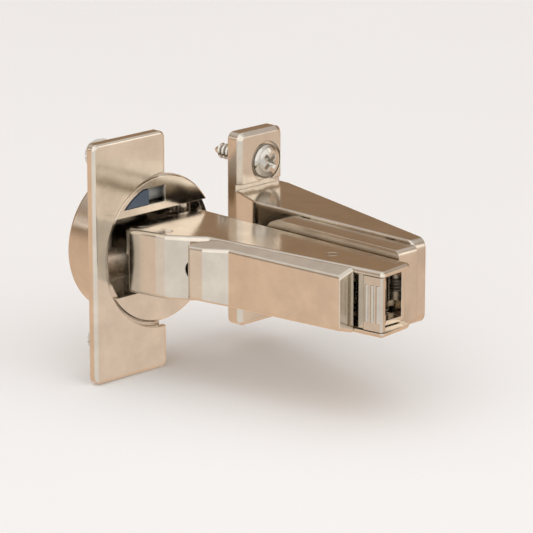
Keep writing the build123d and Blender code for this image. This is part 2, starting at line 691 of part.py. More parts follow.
def soft_close_switch():
    """Slider in the cover's window, with a wider foot below."""
    knob = box(-45, -36.4, -1.7, -0.5, 11.5, 15.1) & cup_disc(COVER_R - 1.6, -5, 2)
    knob = fillet(knob.faces().sort_by(Axis.Y)[0].edges().sort_by(Axis.X)[-1], 0.4)
    foot = box(-45, -35.9, -0.5, 0.3, 10.9, 15.6) & cup_disc(CUP_R - CUP_WALL - 0.2, -5, 2)
    return knob + foot


def damper_cylinder(side):
    z = side * DAMPER_Z
    body = rod_x(3.4, z, DAMPER_R, CUP_X - 5.8, CUP_X + 3.4)
    return body - rod_x(3.4, z, 0.85, CUP_X - 3.0, CUP_X + 5)


def damper_rod(side):
    return rod_x(3.4, side * DAMPER_Z, 0.8, CUP_X - 2.8, CUP_X + 8.2)


def fixing_dowel(z):
    """Dowel in the door, with the wedge's bore."""
    x = CUP_X - DOWEL_OFFSET
    body = rod_y(x, z, DOWEL_R, 0.0, DOWEL_DEPTH)
    body -= rod_y(x, z, 2.0 + PIN_CLEARANCE, -1, DOWEL_DEPTH - 0.4)
    return body


def dowel_wedge(z):
    """Pin that spreads a dowel, with a flat head under the flange cover."""
    x = CUP_X - DOWEL_OFFSET
    shank = rod_y(x, z, 2.0, -0.9, DOWEL_DEPTH - 1.0)
    head = rod_y(x, z, 3.0, -1.35, -0.85)
    return shank + head


def flap_outline(inset):
    """Flange cover seen from the front, as a face in the XZ plane."""
    left = FLAP_LEFT + inset
    right = FLAP_RIGHT - inset
    half = FLAP_HEIGHT / 2 - inset
    face = Plane.XZ * Pos((left + right) / 2, 0) * RectangleRounded(right - left, 2 * half, 1.6)
    return face


def lock_flap():
    """Hollow cover around the cup's left half, on a pivot at its left edge."""
    body = extrude(flap_outline(0), amount=FLAP_PROUD, dir=(0, -1, 0))
    top = body.faces().sort_by(Axis.Y)[0].edges()
    body = fillet(top, 0.8)
    hollow = extrude(flap_outline(FLAP_WALL), amount=FLAP_PROUD - FLAP_WALL, dir=(0, -1, 0))
    body -= hollow + box(-60, -30, 0, 1, -40, 40)
    body -= cup_disc(FLAP_CUT_R, -5, 1)
    wall = cup_disc(FLAP_CUT_R + FLAP_WALL, -FLAP_PROUD + 0.5, -0.1) - cup_disc(FLAP_CUT_R, -5, 1)
    half = FLAP_HEIGHT / 2 - 2.5
    body += wall & box(FLAP_LEFT + 1, FLAP_RIGHT - 0.1, -5, 1, -half, half)
    body += pin_z(FLAP_PIN, FLAP_BARREL_R, -half, half)
    body -= flange_clearance()
    return body - pin_z(FLAP_PIN, FLAP_PIN_R + PIN_CLEARANCE, 0.35 - half, half - 0.35)


def flange_clearance():
    """Room in the flange cover for the base plate, its knuckles and the lift."""
    half = FLAP_HEIGHT / 2 - 0.6
    room = box(FLAP_PIN[0] + 0.9, 0, -1.0, 1, -half, half)
    groove = FLAP_BARREL_R + 0.1
    for z in KNUCKLES:
        low = z - KNUCKLE_HALF - 0.2
        high = z + KNUCKLE_HALF + 0.2
        room += pin_z(FLAP_PIN, groove, low, high)
        room += box(FLAP_PIN[0] - groove, FLAP_PIN[0] + 2, FLAP_PIN[1], 1, low, high)
        room += box(FLAP_PIN[0], FLAP_PIN[0] + 2, FLAP_PIN[1] - groove, 1, low, high)
    heel = [
        (FLAP_LEFT - 1, 1),
        (FLAP_LEFT - 1, -0.5),
        (FLAP_LEFT, -0.5),
        (FLAP_PIN[0], 0),
        (FLAP_PIN[0], 1),
    ]
    return room + prism(heel, -40, 40)


def flap_pin():
    half = FLAP_HEIGHT / 2 - 3.0
    return pin_z(FLAP_PIN, FLAP_PIN_R, -half, half)


def save(name, *solids):
    """One node file, repeats as separate solids."""
    bodies = []
    for item in solids:
        bodies.extend(item.solids())
    shape = bodies[0] if len(bodies) == 1 else Compound(children=bodies)
    export_step(shape, "parts/" + name + ".step")


save("mounting_bracket", mounting_bracket())
save("bracket_screws", *[bracket_screw(z) for z in screw_heights()])
save("rail_plate", rail_plate())
save("rail_hook_pin", rail_hook_pin())
save("height_cam", height_cam())
save("clip_base", clip_base())
save("lever_pin", lever_pin())
save("slide_block", slide_block())
save("depth_cam", depth_cam())
save("side_screw", side_screw())
save("release_lever", release_lever())
save("lever_spring", lever_spring())
save("arm_channel", arm_channel())
save("tilt_pin", headed_pin(TILT_PIN, TILT_PIN_R, ARM_HALF_WIDTH))
save("outer_arm_pin", headed_pin(OUTER_ARM_PIVOT, LINK_PIN_R, ARM_HALF_WIDTH))
save("inner_arm_pin", headed_pin(INNER_ARM_PIVOT, LINK_PIN_R, ARM_HALF_WIDTH))
save("cover_cap", cover_cap())
save("closing_spring", closing_spring())
save("outer_link", outer_link())
save("inner_link", inner_link())
save("inner_cup_pin", pin_z(INNER_CUP_PIVOT, CUP_PIN_R, -4.8, 4.8))
save("hinge_cup", hinge_cup())
save("outer_cup_pins", *cup_pins())
save("upper_cover", cup_cover(1))
save("lower_cover", cup_cover(-1))
save("soft_close_switch", soft_close_switch())
save("damper_cylinders", *[damper_cylinder(side) for side in (-1, 1)])
save("damper_rods", *[damper_rod(side) for side in (-1, 1)])
save("fixing_dowels", *[fixing_dowel(z) for z in (-DOWEL_PITCH / 2, DOWEL_PITCH / 2)])
save("dowel_wedges", *[dowel_wedge(z) for z in (-DOWEL_PITCH / 2, DOWEL_PITCH / 2)])
save("flange_cover", lock_flap())
save("flange_cover_pin", flap_pin())
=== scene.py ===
from math import pi, radians

import bpy
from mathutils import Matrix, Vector


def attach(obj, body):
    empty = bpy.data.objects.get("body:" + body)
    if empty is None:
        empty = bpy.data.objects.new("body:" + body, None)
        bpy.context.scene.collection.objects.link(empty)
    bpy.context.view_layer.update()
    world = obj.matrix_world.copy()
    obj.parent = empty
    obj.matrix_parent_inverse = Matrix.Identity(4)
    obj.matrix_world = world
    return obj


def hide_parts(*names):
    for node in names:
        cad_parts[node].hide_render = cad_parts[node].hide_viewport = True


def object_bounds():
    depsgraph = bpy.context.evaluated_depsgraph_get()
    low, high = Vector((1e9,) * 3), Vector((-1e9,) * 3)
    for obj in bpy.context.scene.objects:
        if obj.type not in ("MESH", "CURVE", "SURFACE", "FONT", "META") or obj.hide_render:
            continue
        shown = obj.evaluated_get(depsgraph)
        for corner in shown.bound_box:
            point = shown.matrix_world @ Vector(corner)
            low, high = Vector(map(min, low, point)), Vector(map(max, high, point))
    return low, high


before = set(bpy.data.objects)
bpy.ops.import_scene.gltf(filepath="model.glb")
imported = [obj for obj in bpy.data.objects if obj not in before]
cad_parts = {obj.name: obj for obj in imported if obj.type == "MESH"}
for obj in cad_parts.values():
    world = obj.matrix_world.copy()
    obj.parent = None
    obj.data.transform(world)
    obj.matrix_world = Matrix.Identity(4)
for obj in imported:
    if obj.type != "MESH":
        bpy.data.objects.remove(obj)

bl_info = {
    "name": "Concealed Hinge Finish",
    "version": (1, 0, 0),
    "blender": (4, 5, 0),
    "location": "View3D > Sidebar > Hinge",
    "description": "Finishes and fine parts of a concealed cabinet hinge, with its studio",
    "category": "Object",
}

MM = 0.001
FULL_TURN = 2 * pi
CAD_LOW, CAD_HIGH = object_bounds()

# Colour sockets of the Mix node
MIX_FIRST = 6
MIX_SECOND = 7
MIX_RESULT = 2

# Noise scales of the finishes, in cells per metre, and the stretch of drawn grain
CLOUD_SCALE = 160
PIT_SCALE = 2600
WAVE_SCALE = 70
FLOW_SCALE = 300
SPARK_SCALE = 5200
DRAWN_STRETCH = (1, 0.12, 1)

# Tones of the plating and of the plastic, as shares of their colour; the rubbed tone is rubbed wear and
# a painted edge highlight
DULL = 0.9
BRIGHT = 1.05
PITTED = 0.7
RUBBED_AND_HIGHLIT = 1.2
FLOW_BRIGHT = 1.08

# Where pits and edges show in their patterns, and how strong the pits and the edges' rubbed wear and
# painted highlight get
PIT_BLEND = (0.62, 0.72)
PIT_STRENGTH = 0.25
EDGE_BLEND = (0.8, 0.99)
RUB_AND_HIGHLIGHT_STRENGTH = (0.35, 0.9)

# Roughness of the springs, and height of the grain and radius of the edges of plastic in metres
SPRING_ROUGHNESS = 0.34
PLASTIC_GRAIN = 0.00003
PLASTIC_EDGE = 0.0002

# Limits in modelling: welding distance in millimetres, least share of a normal along Y, smoothing angle
WELD = 0.002
FACING = 0.9
SMOOTH_ANGLE = 35

# Bracket screw, in millimetres along Y from the bracket's back face, and its height from the middle
SCREW_PROFILE = (
    (0.001, -5.5), (1.1, -5.47), (2.1, -5.36), (2.95, -5.12), (3.6, -4.78), (4.05, -4.35),
    (4.2, -3.95), (4.2, -3.45), (4.05, -3.2), (1.7, -3.2), (1.7, 0.3), (1.32, 0.9),
    (1.3, 11.2), (0.85, 12.8), (0.001, 13.95),
)
SCREW_STEPS = 64
SCREW_AT = 16.0

# Rounding of the screw's edges in millimetres, and the least angle in degrees that is rounded
SCREW_ROUNDING = 0.08
SCREW_EDGE = 40

# Cross recess: turns of its arms in degrees, their length and depth, middle along Y, and taper
RECESS_TURNS = (45, 135)
RECESS_LENGTH = 6
RECESS_DEPTH = 2.8
RECESS_AT = -5.0
RECESS_TAPER = (0.42, 1, 0.6)

# Thread: radius and start along Y of the middle of its ridge, and the stretch of the ridge's section
THREAD_AT = (1.55, 0.9, 0)
THREAD_STRETCH = (0.97, 1.15, 1)
THREAD_TURNS = 8
THREAD_STEPS = 28

# Dowel, in millimetres along Y from the door's face, with its place in X and Z
DOWEL_AT = (-42.0, 22.5)
DOWEL_STEPS = 72
DOWEL_PROFILE = (
    (2.06, 0.0), (3.55, 0.0), (3.7, 0.35), (3.98, 1.6), (3.55, 1.75), (3.98, 4.0), (3.55, 4.15),
    (3.98, 6.4), (3.55, 6.55), (3.98, 8.8), (3.55, 8.95), (3.6, 10.2), (3.2, 11.0), (2.06, 11.0),
    (2.06, 0.0),
)

# Slit across the dowel: its length both ways, middle along Y, and taper
SLIT_LENGTH = 9
SLIT_AT = 7.5
SLIT_TAPER = (1, 1, 0.6)

# Camera's place and the point it looks at, in millimetres from the frame's origin
CAMERA_AT = (-544.5, -548.0, 205.6)
LOOK_AT = (-25.0, -29.0, -0.5)
CLIP_START = 0.01

# Room round the hinge: the side of its warm wall, and its colours
WALL_SIDE = (0.6, 0.8, 0.0)
ROOM_WARM = (0.92, 0.68, 0.51, 1)
ROOM_SHADE = (0.36, 0.24, 0.15, 1)
ROOM_PALE = (1.0, 0.985, 0.97, 1)
ROOM_CEILING = (1.0, 0.99, 0.98, 1)
BACKDROP = (1.0, 0.995, 0.985, 1)

# Where each part of the room blends in: towards the wall, and by the height of the direction
WALL_BLEND = (-0.42, -0.02)
SHADE_BLEND = (0.0, 0.2)
CEILING_BLEND = (0.45, 0.85)

# Floor: side in metres, noise scale of its clouds, its two tones and its roughness
FLOOR_SIDE = 6
FLOOR_SCALE = 3
FLOOR_TONES = ((0.93, 0.935, 0.945, 1), (0.955, 0.96, 0.97, 1))
FLOOR_ROUGHNESS = 0.9

# Soft lamps: name, place and size in metres, the setting with their power, and tint
LAMPS = (
    ("key", (-0.75, -0.35, 0.75), (1.8, 1.8), "key_power", (1, 0.985, 0.96)),
    ("fill", (0.5, -0.9, 0.35), (1.6, 0.6), "fill_power", (1, 0.97, 0.93)),
    ("left_strip", (-0.7, 0.72, 0.5), (0.15, 0.5), "strip_power", (1, 0.99, 0.97)),
    ("right_strip", (0.75, -0.75, 0.45), (0.15, 0.5), "strip_power", (1, 0.99, 0.97)),
)


# Node helpers
def add_node(tree, kind, **settings):
    """Adds a shader node and sets its inputs, or else its properties, by name."""
    node = tree.nodes.new(kind)
    for key, value in settings.items():
        if key in node.inputs:
            node.inputs[key].default_value = value
        else:
            setattr(node, key, value)
    return node


def empty_material(name):
    """New material with its node tree and its shader."""
    material = bpy.data.materials.new(name)
    material.use_nodes = True
    tree = material.node_tree
    return material, tree, tree.nodes["Principled BSDF"]


def object_space(tree, stretch=(1, 1, 1)):
    """Object coordinates, stretched."""
    coords = add_node(tree, "ShaderNodeTexCoord")
    mapping = add_node(tree, "ShaderNodeMapping", Scale=stretch)
    tree.links.new(coords.outputs["Object"], mapping.inputs["Vector"])
    return mapping.outputs["Vector"]


def noise(tree, vector, scale, detail, rough=0.55):
    node = add_node(tree, "ShaderNodeTexNoise", Scale=scale, Detail=detail, Roughness=rough)
    tree.links.new(vector, node.inputs["Vector"])
    return node.outputs["Fac"]


def ranged(tree, value, low, high, start=0.3, end=0.7):
    """Low where the value is at the start, high at the end, and held outside."""
    node = add_node(tree, "ShaderNodeMapRange")
    for key, number in zip(("From Min", "From Max", "To Min", "To Max"), (start, end, low, high)):
        node.inputs[key].default_value = number
    tree.links.new(value, node.inputs["Value"])
    return node.outputs["Result"]


def mixed(tree, factor, first, second):
    """Mix of two colours, each a tuple or a socket."""
    node = add_node(tree, "ShaderNodeMix", data_type="RGBA")
    tree.links.new(factor, node.inputs["Factor"])
    for index, colour in ((MIX_FIRST, first), (MIX_SECOND, second)):
        if isinstance(colour, tuple):
            node.inputs[index].default_value = colour
        else:
            tree.links.new(colour, node.inputs[index])
    return node.outputs[MIX_RESULT]


def shade(colour, factor):
    """The colour made darker or brighter, with full alpha."""
    return tuple(min(1.0, c * factor) for c in colour[:3]) + (1.0,)


def soft_edges(tree, radius):
    """Normals rounded at sharp edges."""
    return add_node(tree, "ShaderNodeBevel", Radius=radius, samples=4).outputs["Normal"]


def edge_wear_and_highlight(tree, radius):
    """1 along sharp edges and 0 on the faces between them."""
    true_normal = add_node(tree, "ShaderNodeNewGeometry").outputs["Normal"]
    alike = add_node(tree, "ShaderNodeVectorMath", operation="DOT_PRODUCT")
    tree.links.new(soft_edges(tree, radius), alike.inputs[0])
    tree.links.new(true_normal, alike.inputs[1])
    return ranged(tree, alike.outputs["Value"], 1, 0, *EDGE_BLEND)


def bumped(tree, height, distance, normal, strength):
    node = add_node(tree, "ShaderNodeBump", Distance=distance, Strength=strength)
    tree.links.new(height, node.inputs["Height"])
    tree.links.new(normal, node.inputs["Normal"])
    return node.outputs["Normal"]


# Finishes
def plated_metal(name, colour, rough, grain, bump, edge=0.00025, wave=0.00006):
    """Nickel over steel or zinc: clouded plating, fine drawn grain, slight waves, and sharp edges
    brightened as rubbed wear and painted highlight.

    The grain is in cells per metre. The heights of bump and wave and the radius of the edge
    are in metres.
    """
    material, tree, shader = empty_material(name)
    even = object_space(tree)
    clouds = noise(tree, even, CLOUD_SCALE, 5)
    fine = noise(tree, object_space(tree, DRAWN_STRETCH), grain, 8, 0.7)
    pits = noise(tree, even, PIT_SCALE, 3)
    tone = mixed(tree, ranged(tree, clouds, 0, 1), shade(colour, DULL), shade(colour, BRIGHT))
    pitting = ranged(tree, pits, 0, PIT_STRENGTH, *PIT_BLEND)
    tone = mixed(tree, pitting, tone, shade(colour, PITTED))
    # Brighter colour along sharp edges: partly rubbed wear, partly a painted edge highlight
    rubbing_and_highlight = add_node(tree, "ShaderNodeMath", operation="MULTIPLY")
    tree.links.new(edge_wear_and_highlight(tree, edge), rubbing_and_highlight.inputs[0])
    tree.links.new(ranged(tree, clouds, *RUB_AND_HIGHLIGHT_STRENGTH), rubbing_and_highlight.inputs[1])
    tone = mixed(tree, rubbing_and_highlight.outputs["Value"], tone, shade(colour, RUBBED_AND_HIGHLIT))
    tree.links.new(tone, shader.inputs["Base Color"])
    shader.inputs["Metallic"].default_value = 1.0
    tree.links.new(ranged(tree, fine, rough * 0.75, rough * 1.35), shader.inputs["Roughness"])
    waves = bumped(tree, noise(tree, even, WAVE_SCALE, 1), wave, soft_edges(tree, edge), 1.0)
    tree.links.new(bumped(tree, fine, bump, waves, 0.5), shader.inputs["Normal"])
    return material


def moulded_plastic(name, colour, rough):
    """Moulded nylon: faint flow clouds, fine spark-eroded grain."""
    material, tree, shader = empty_material(name)
    even = object_space(tree)
    clouds = noise(tree, even, FLOW_SCALE, 3)
    grain = noise(tree, even, SPARK_SCALE, 4)
    tone = mixed(tree, ranged(tree, clouds, 0, 1), shade(colour, DULL), shade(colour, FLOW_BRIGHT))
    tree.links.new(tone, shader.inputs["Base Color"])
    tree.links.new(ranged(tree, grain, rough * 0.8, rough * 1.2), shader.inputs["Roughness"])
    normal = bumped(tree, grain, PLASTIC_GRAIN, soft_edges(tree, PLASTIC_EDGE), 0.4)
    tree.links.new(normal, shader.inputs["Normal"])
    shader.inputs["Specular IOR Level"].default_value = 0.45
    return material


def give(material, *nodes):
    """Puts a finish on carried-over CAD nodes."""
    for name in nodes:
        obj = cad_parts[name]
        for slot in obj.material_slots:
            slot.material = material
        if not obj.material_slots:
            obj.data.materials.append(material)


# Modelling helpers
def nothing_selected():
    """Object mode with no object selected."""
    if bpy.context.object and bpy.context.object.mode != "OBJECT":
        bpy.ops.object.mode_set(mode="OBJECT")
    bpy.ops.object.select_all(action="DESELECT")


def only(obj):
    """Object mode with just this object selected and active."""
    nothing_selected()
    obj.select_set(True)
    bpy.context.view_layer.objects.active = obj


def rename(obj, name):
    """The object, with its mesh under the same name."""
    obj.name = name
    obj.data.name = name
    return obj


def done(obj):
    """Back in object mode with its place in its mesh."""
    only(obj)
    bpy.ops.object.transform_apply(location=True, rotation=True, scale=True)
    return obj


def edit_all():
    """Edit mode on the active object, by its vertices, with all of them selected."""
    bpy.ops.object.mode_set(mode="EDIT")
    bpy.ops.mesh.select_mode(type="VERT")
    bpy.ops.mesh.select_all(action="SELECT")


def apply_modifier(obj, kind, **settings):
    """Adds a modifier with these settings and applies it."""
    only(obj)
    modifier = obj.modifiers.new(kind.lower(), kind)
    for key, value in settings.items():
        setattr(modifier, key, value)
    bpy.ops.object.modifier_apply(modifier=modifier.name)


def joined(pieces, name):
    """One object from several, under this name."""
    nothing_selected()
    for piece in pieces:
        piece.select_set(True)
    bpy.context.view_layer.objects.active = pieces[0]
    bpy.ops.object.join()
    return rename(pieces[0], name)


def smoothed(obj):
    """Smooth faces, with sharp edges kept."""
    only(obj)
    bpy.ops.object.shade_smooth_by_angle(angle=radians(SMOOTH_ANGLE))


def copied(obj, name, shift):
    """A copy with its own mesh, moved by the shift."""
    other = obj.copy()
    other.data = obj.data.copy()
    rename(other, name)
    bpy.context.collection.objects.link(other)
    other.location = shift
    return done(other)


def stands_for(piece, body, material, slot, *nodes):
    """Gives a piece its finish and body, in place of the CAD nodes."""
    piece.data.materials.clear()
    piece.data.materials.append(material)
    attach(piece, body)
    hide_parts(*nodes)


def lathe_y(name, profile, steps):
    """Turned piece about the Y axis from (radius, y) points in millimetres."""
    nothing_selected()
    bpy.ops.mesh.primitive_plane_add(size=MM, location=(profile[0][0] * MM, profile[0][1] * MM, 0))
    obj = done(rename(bpy.context.object, name))
    edit_all()
    bpy.ops.mesh.merge(type="CENTER")
    last = profile[0]
    for point in profile[1:]:
        move = ((point[0] - last[0]) * MM, (point[1] - last[1]) * MM, 0)
        bpy.ops.mesh.extrude_region_move(TRANSFORM_OT_translate={"value": move})
        last = point
    bpy.ops.mesh.select_all(action="SELECT")
    bpy.ops.mesh.spin(steps=steps, angle=FULL_TURN, center=(0, 0, 0), axis=(0, 1, 0))
    bpy.ops.mesh.select_all(action="SELECT")
    bpy.ops.mesh.remove_doubles(threshold=WELD * MM)
    bpy.ops.mesh.normals_make_consistent(inside=False)
    bpy.ops.object.mode_set(mode="OBJECT")
    return obj


def tapered_bar(name, size, middle, side, taper):
    """Cutting bar on the Y axis, in millimetres, narrowed at its end towards side 1 or -1."""
    nothing_selected()
    bpy.ops.mesh.primitive_cube_add(size=MM, location=(0, middle * MM, 0), scale=size)
    bar = done(rename(bpy.context.object, name))
    bpy.ops.object.mode_set(mode="EDIT")
    bpy.ops.mesh.select_mode(type="FACE")
    bpy.ops.mesh.select_all(action="DESELECT")
    bpy.ops.object.mode_set(mode="OBJECT")
    for face in bar.data.polygons:
        face.select = face.normal.y * side > FACING
    bpy.ops.object.mode_set(mode="EDIT")
    bpy.ops.transform.resize(value=taper)
    bpy.ops.object.mode_set(mode="OBJECT")
    return bar


def cut_away(obj, tool):
    """Takes the tool's solid out of the piece and removes the tool."""
    apply_modifier(obj, "BOOLEAN", operation="DIFFERENCE", solver="EXACT", object=tool)
    bpy.data.objects.remove(tool, do_unlink=True)


# Settings
class HingeFinish(bpy.types.PropertyGroup):
    """Colours and roughness of the finishes."""
    sheet: bpy.props.FloatVectorProperty(
        name="Sheet colour", description="Nickel-plated steel of the arm, the clip base and the links",
        subtype="COLOR", size=3, min=0, max=1, default=(0.68, 0.615, 0.53))
    cast: bpy.props.FloatVectorProperty(
        name="Casting colour", description="Nickel-plated zinc of the bracket, rail, lever and cup",
        subtype="COLOR", size=3, min=0, max=1, default=(0.64, 0.585, 0.51))
    cover: bpy.props.FloatVectorProperty(
        name="Cover colour", description="Bright nickel of the cap, cover plates and flange cover",
        subtype="COLOR", size=3, min=0, max=1, default=(0.71, 0.65, 0.565))
    pin: bpy.props.FloatVectorProperty(
        name="Pin colour", description="Bright steel of pins and screws",
        subtype="COLOR", size=3, min=0, max=1, default=(0.60, 0.57, 0.52))
    spring: bpy.props.FloatVectorProperty(
        name="Spring colour", description="Dark steel of the springs",
        subtype="COLOR", size=3, min=0, max=1, default=(0.24, 0.23, 0.22))
    switch: bpy.props.FloatVectorProperty(
        name="Switch colour", description="Dark nylon of the soft-close switch",
        subtype="COLOR", size=3, min=0, max=1, default=(0.07, 0.095, 0.135))
    damper: bpy.props.FloatVectorProperty(
        name="Damper colour", description="Grey nylon of the damper cylinders",
        subtype="COLOR", size=3, min=0, max=1, default=(0.42, 0.42, 0.40))
    dowel: bpy.props.FloatVectorProperty(
        name="Dowel colour", description="Pale nylon of the dowels",
        subtype="COLOR", size=3, min=0, max=1, default=(0.62, 0.60, 0.55))
    roughness: bpy.props.FloatProperty(
        name="Roughness", description="Base roughness of the plating",
        subtype="FACTOR", min=0.02, max=0.6, default=0.14)


class HingeFineParts(bpy.types.PropertyGroup):
    """Sizes of the detail on the screws and dowels, which are plain in the CAD model."""
    thread_pitch: bpy.props.FloatProperty(
        name="Thread pitch", description="Rise of the screws' thread in one turn",
        unit="LENGTH", min=0.0005, max=0.003, default=0.00135)
    thread_ridge: bpy.props.FloatProperty(
        name="Thread ridge", description="Radius of the four-sided section of the thread",
        unit="LENGTH", min=0.0001, max=0.0008, default=0.00036)
    recess_width: bpy.props.FloatProperty(
        name="Recess width", description="Width of each arm of the screws' cross recess",
        unit="LENGTH", min=0.0005, max=0.002, default=0.0014)
    slit_width: bpy.props.FloatProperty(
        name="Slit width", description="Width of the slit that lets a dowel spread",
        unit="LENGTH", min=0.0002, max=0.0015, default=0.0006)


class HingeStudio(bpy.types.PropertyGroup):
    """Floor, lamps and lens."""
    lens: bpy.props.FloatProperty(
        name="Lens", description="Focal length on a 36 mm sensor",
        unit="CAMERA", min=50, max=600, default=222)
    floor_drop: bpy.props.FloatProperty(
        name="Floor drop", description="Gap between the hinge's lowest point and the floor",
        unit="LENGTH", min=0, max=0.05, default=0.0004)
    key_power: bpy.props.FloatProperty(
        name="Key power", description="Power of the main soft lamp",
        unit="POWER", min=0, max=100, default=4.5)
    fill_power: bpy.props.FloatProperty(
        name="Fill power", description="Power of the side lamp",
        unit="POWER", min=0, max=100, default=1.3)
    strip_power: bpy.props.FloatProperty(
        name="Strip power", description="Power of each strip lamp that lights the fillets",
        unit="POWER", min=0, max=20, default=0.22)
    world_level: bpy.props.FloatProperty(
        name="Room light", description="Strength of the even light of the room",
        min=0, max=2, default=0.95)


# Bracket and its screws
class FinishBracket(bpy.types.Operator):
    """Plates the bracket"""
    bl_idname = "hinge.finish_bracket"
    bl_label = "Bracket"

    def execute(self, context):
        look = context.scene.hinge_finish
        cast = plated_metal(
            "bracket_nickel", look.cast, look.roughness, grain=900, bump=0.00002, edge=0.0004)
        give(cast, "mounting_bracket")
        return {"FINISHED"}


class MakeBracketScrews(bpy.types.Operator):
    """Turns the two pan-head screws with a rolled thread and a cross recess"""
    bl_idname = "hinge.make_bracket_screws"
    bl_label = "Bracket Screws"

    def execute(self, context):
        look = context.scene.hinge_finish
        fine = context.scene.hinge_fine
        blank = lathe_y("bracket_screw_upper", SCREW_PROFILE, SCREW_STEPS)
        for turn in RECESS_TURNS:
            cut_away(blank, recess_arm(fine.recess_width, turn))
        apply_modifier(
            blank, "BEVEL", width=SCREW_ROUNDING * MM, segments=2, angle_limit=radians(SCREW_EDGE))
        thread = rolled_thread(fine.thread_pitch, fine.thread_ridge)
        screw = joined([blank, thread], "bracket_screw_upper")
        smoothed(screw)
        nickel = plated_metal(
            "screw_nickel", look.pin, look.roughness * 0.8, grain=1500, bump=0.00001)
        lower = copied(screw, "bracket_screw_lower", (0, 0, -SCREW_AT * MM))
        screw.location = (0, 0, SCREW_AT * MM)
        for piece in (done(screw), lower):
            stands_for(piece, "bracket", nickel, "nickel_steel", "bracket_screws")
        return {"FINISHED"}


def recess_arm(width, turn):
    """One arm of the cross recess, narrowed towards its bottom."""
    size = (RECESS_LENGTH, RECESS_DEPTH, width / MM)
    bar = tapered_bar("recess_arm", size, RECESS_AT, 1, RECESS_TAPER)
    bar.rotation_euler = (0, radians(turn), 0)
    return done(bar)


def rolled_thread(pitch, ridge):
    """Helical ridge with a sharp crest, rooted in the shank and closed at both ends."""
    middle = tuple(value * MM for value in THREAD_AT)
    nothing_selected()
    bpy.ops.mesh.primitive_circle_add(
        vertices=4, radius=ridge, fill_type="NGON", location=middle)
    thread = done(rename(bpy.context.object, "rolled_thread"))
    edit_all()
    bpy.ops.transform.resize(value=THREAD_STRETCH, center_override=middle)
    bpy.ops.object.mode_set(mode="OBJECT")
    apply_modifier(
        thread, "SCREW", axis="Y", angle=FULL_TURN, screw_offset=pitch, iterations=THREAD_TURNS,
        steps=THREAD_STEPS, render_steps=THREAD_STEPS, use_merge_vertices=False)
    edit_all()
    bpy.ops.mesh.fill_holes(sides=4)
    bpy.ops.mesh.select_all(action="SELECT")
    bpy.ops.mesh.normals_make_consistent(inside=False)
    bpy.ops.object.mode_set(mode="OBJECT")
    return thread


# Rail, arm and links
class FinishRail(bpy.types.Operator):
    """Plates the rail, the clip base, the slide block, the cams, the side screw and their pins"""
    bl_idname = "hinge.finish_rail"
    bl_label = "Rail and Adjusters"

    def execute(self, context):
        look = context.scene.hinge_finish
        rough = look.roughness
        cast = plated_metal("rail_nickel", look.cast, rough * 1.2, grain=800, bump=0.00002)
        give(cast, "rail_plate", "slide_block")
        sheet = plated_metal("clip_nickel", look.sheet, rough * 0.9, grain=1200, bump=0.00001)
        give(sheet, "clip_base")
        pin = plated_metal("adjuster_steel", look.pin, rough, grain=1800, bump=0.00001)
        give(pin, "rail_hook_pin", "lever_pin", "height_cam", "depth_cam", "side_screw")
        return {"FINISHED"}


class FinishArm(bpy.types.Operator):
    """Plates the arm, its cap, the lever and the arm's pins, and finishes the springs"""
    bl_idname = "hinge.finish_arm"
    bl_label = "Arm, Cap and Lever"

    def execute(self, context):
        look = context.scene.hinge_finish
        rough = look.roughness
        sheet = plated_metal(
            "arm_nickel", look.sheet, rough, grain=1100, bump=0.000012, edge=0.0003)
        give(sheet, "arm_channel")
        cap = plated_metal(
            "cap_nickel", look.cover, rough * 0.9, grain=1300, bump=0.00001, edge=0.0003)
        give(cap, "cover_cap")
        lever = plated_metal("lever_nickel", look.cast, rough * 1.1, grain=1000, bump=0.000015)
        give(lever, "release_lever")
        pin = plated_metal("pin_nickel", look.pin, rough, grain=1800, bump=0.00001)
        give(pin, "tilt_pin", "outer_arm_pin", "inner_arm_pin")
        spring = plated_metal(
            "spring_steel", look.spring, SPRING_ROUGHNESS, grain=2400, bump=0.00001)
        give(spring, "lever_spring", "closing_spring")
        return {"FINISHED"}


class FinishLinks(bpy.types.Operator):
    """Plates the two links and the cup's pins"""
    bl_idname = "hinge.finish_links"
    bl_label = "Links and Pins"

    def execute(self, context):
        look = context.scene.hinge_finish
        rough = look.roughness
        sheet = plated_metal("link_nickel", look.sheet, rough * 1.3, grain=1400, bump=0.00001)
        give(sheet, "outer_link", "inner_link")
        pin = plated_metal("link_pin_steel", look.pin, rough, grain=1800, bump=0.00001)
        give(pin, "inner_cup_pin", "outer_cup_pins")
        return {"FINISHED"}


# Cup, dowels and flange
class FinishCup(bpy.types.Operator):
    """Plates the cup, its cover plates, rods, wedges and pin, and finishes switch and dampers"""
    bl_idname = "hinge.finish_cup"
    bl_label = "Cup, Switch and Dampers"

    def execute(self, context):
        look = context.scene.hinge_finish
        rough = look.roughness
        cast = plated_metal("cup_nickel", look.cast, rough * 1.2, grain=900, bump=0.00002)
        give(cast, "hinge_cup")
        plate = plated_metal("plate_nickel", look.cover, rough * 0.8, grain=1300, bump=0.00001)
        give(plate, "upper_cover", "lower_cover")
        give(moulded_plastic("switch_nylon", look.switch, rough=0.42), "soft_close_switch")
        give(moulded_plastic("damper_nylon", look.damper, rough=0.45), "damper_cylinders")
        pin = plated_metal("rod_steel", look.pin, rough, grain=1800, bump=0.00001)
        give(pin, "damper_rods", "dowel_wedges", "flange_cover_pin")
        return {"FINISHED"}


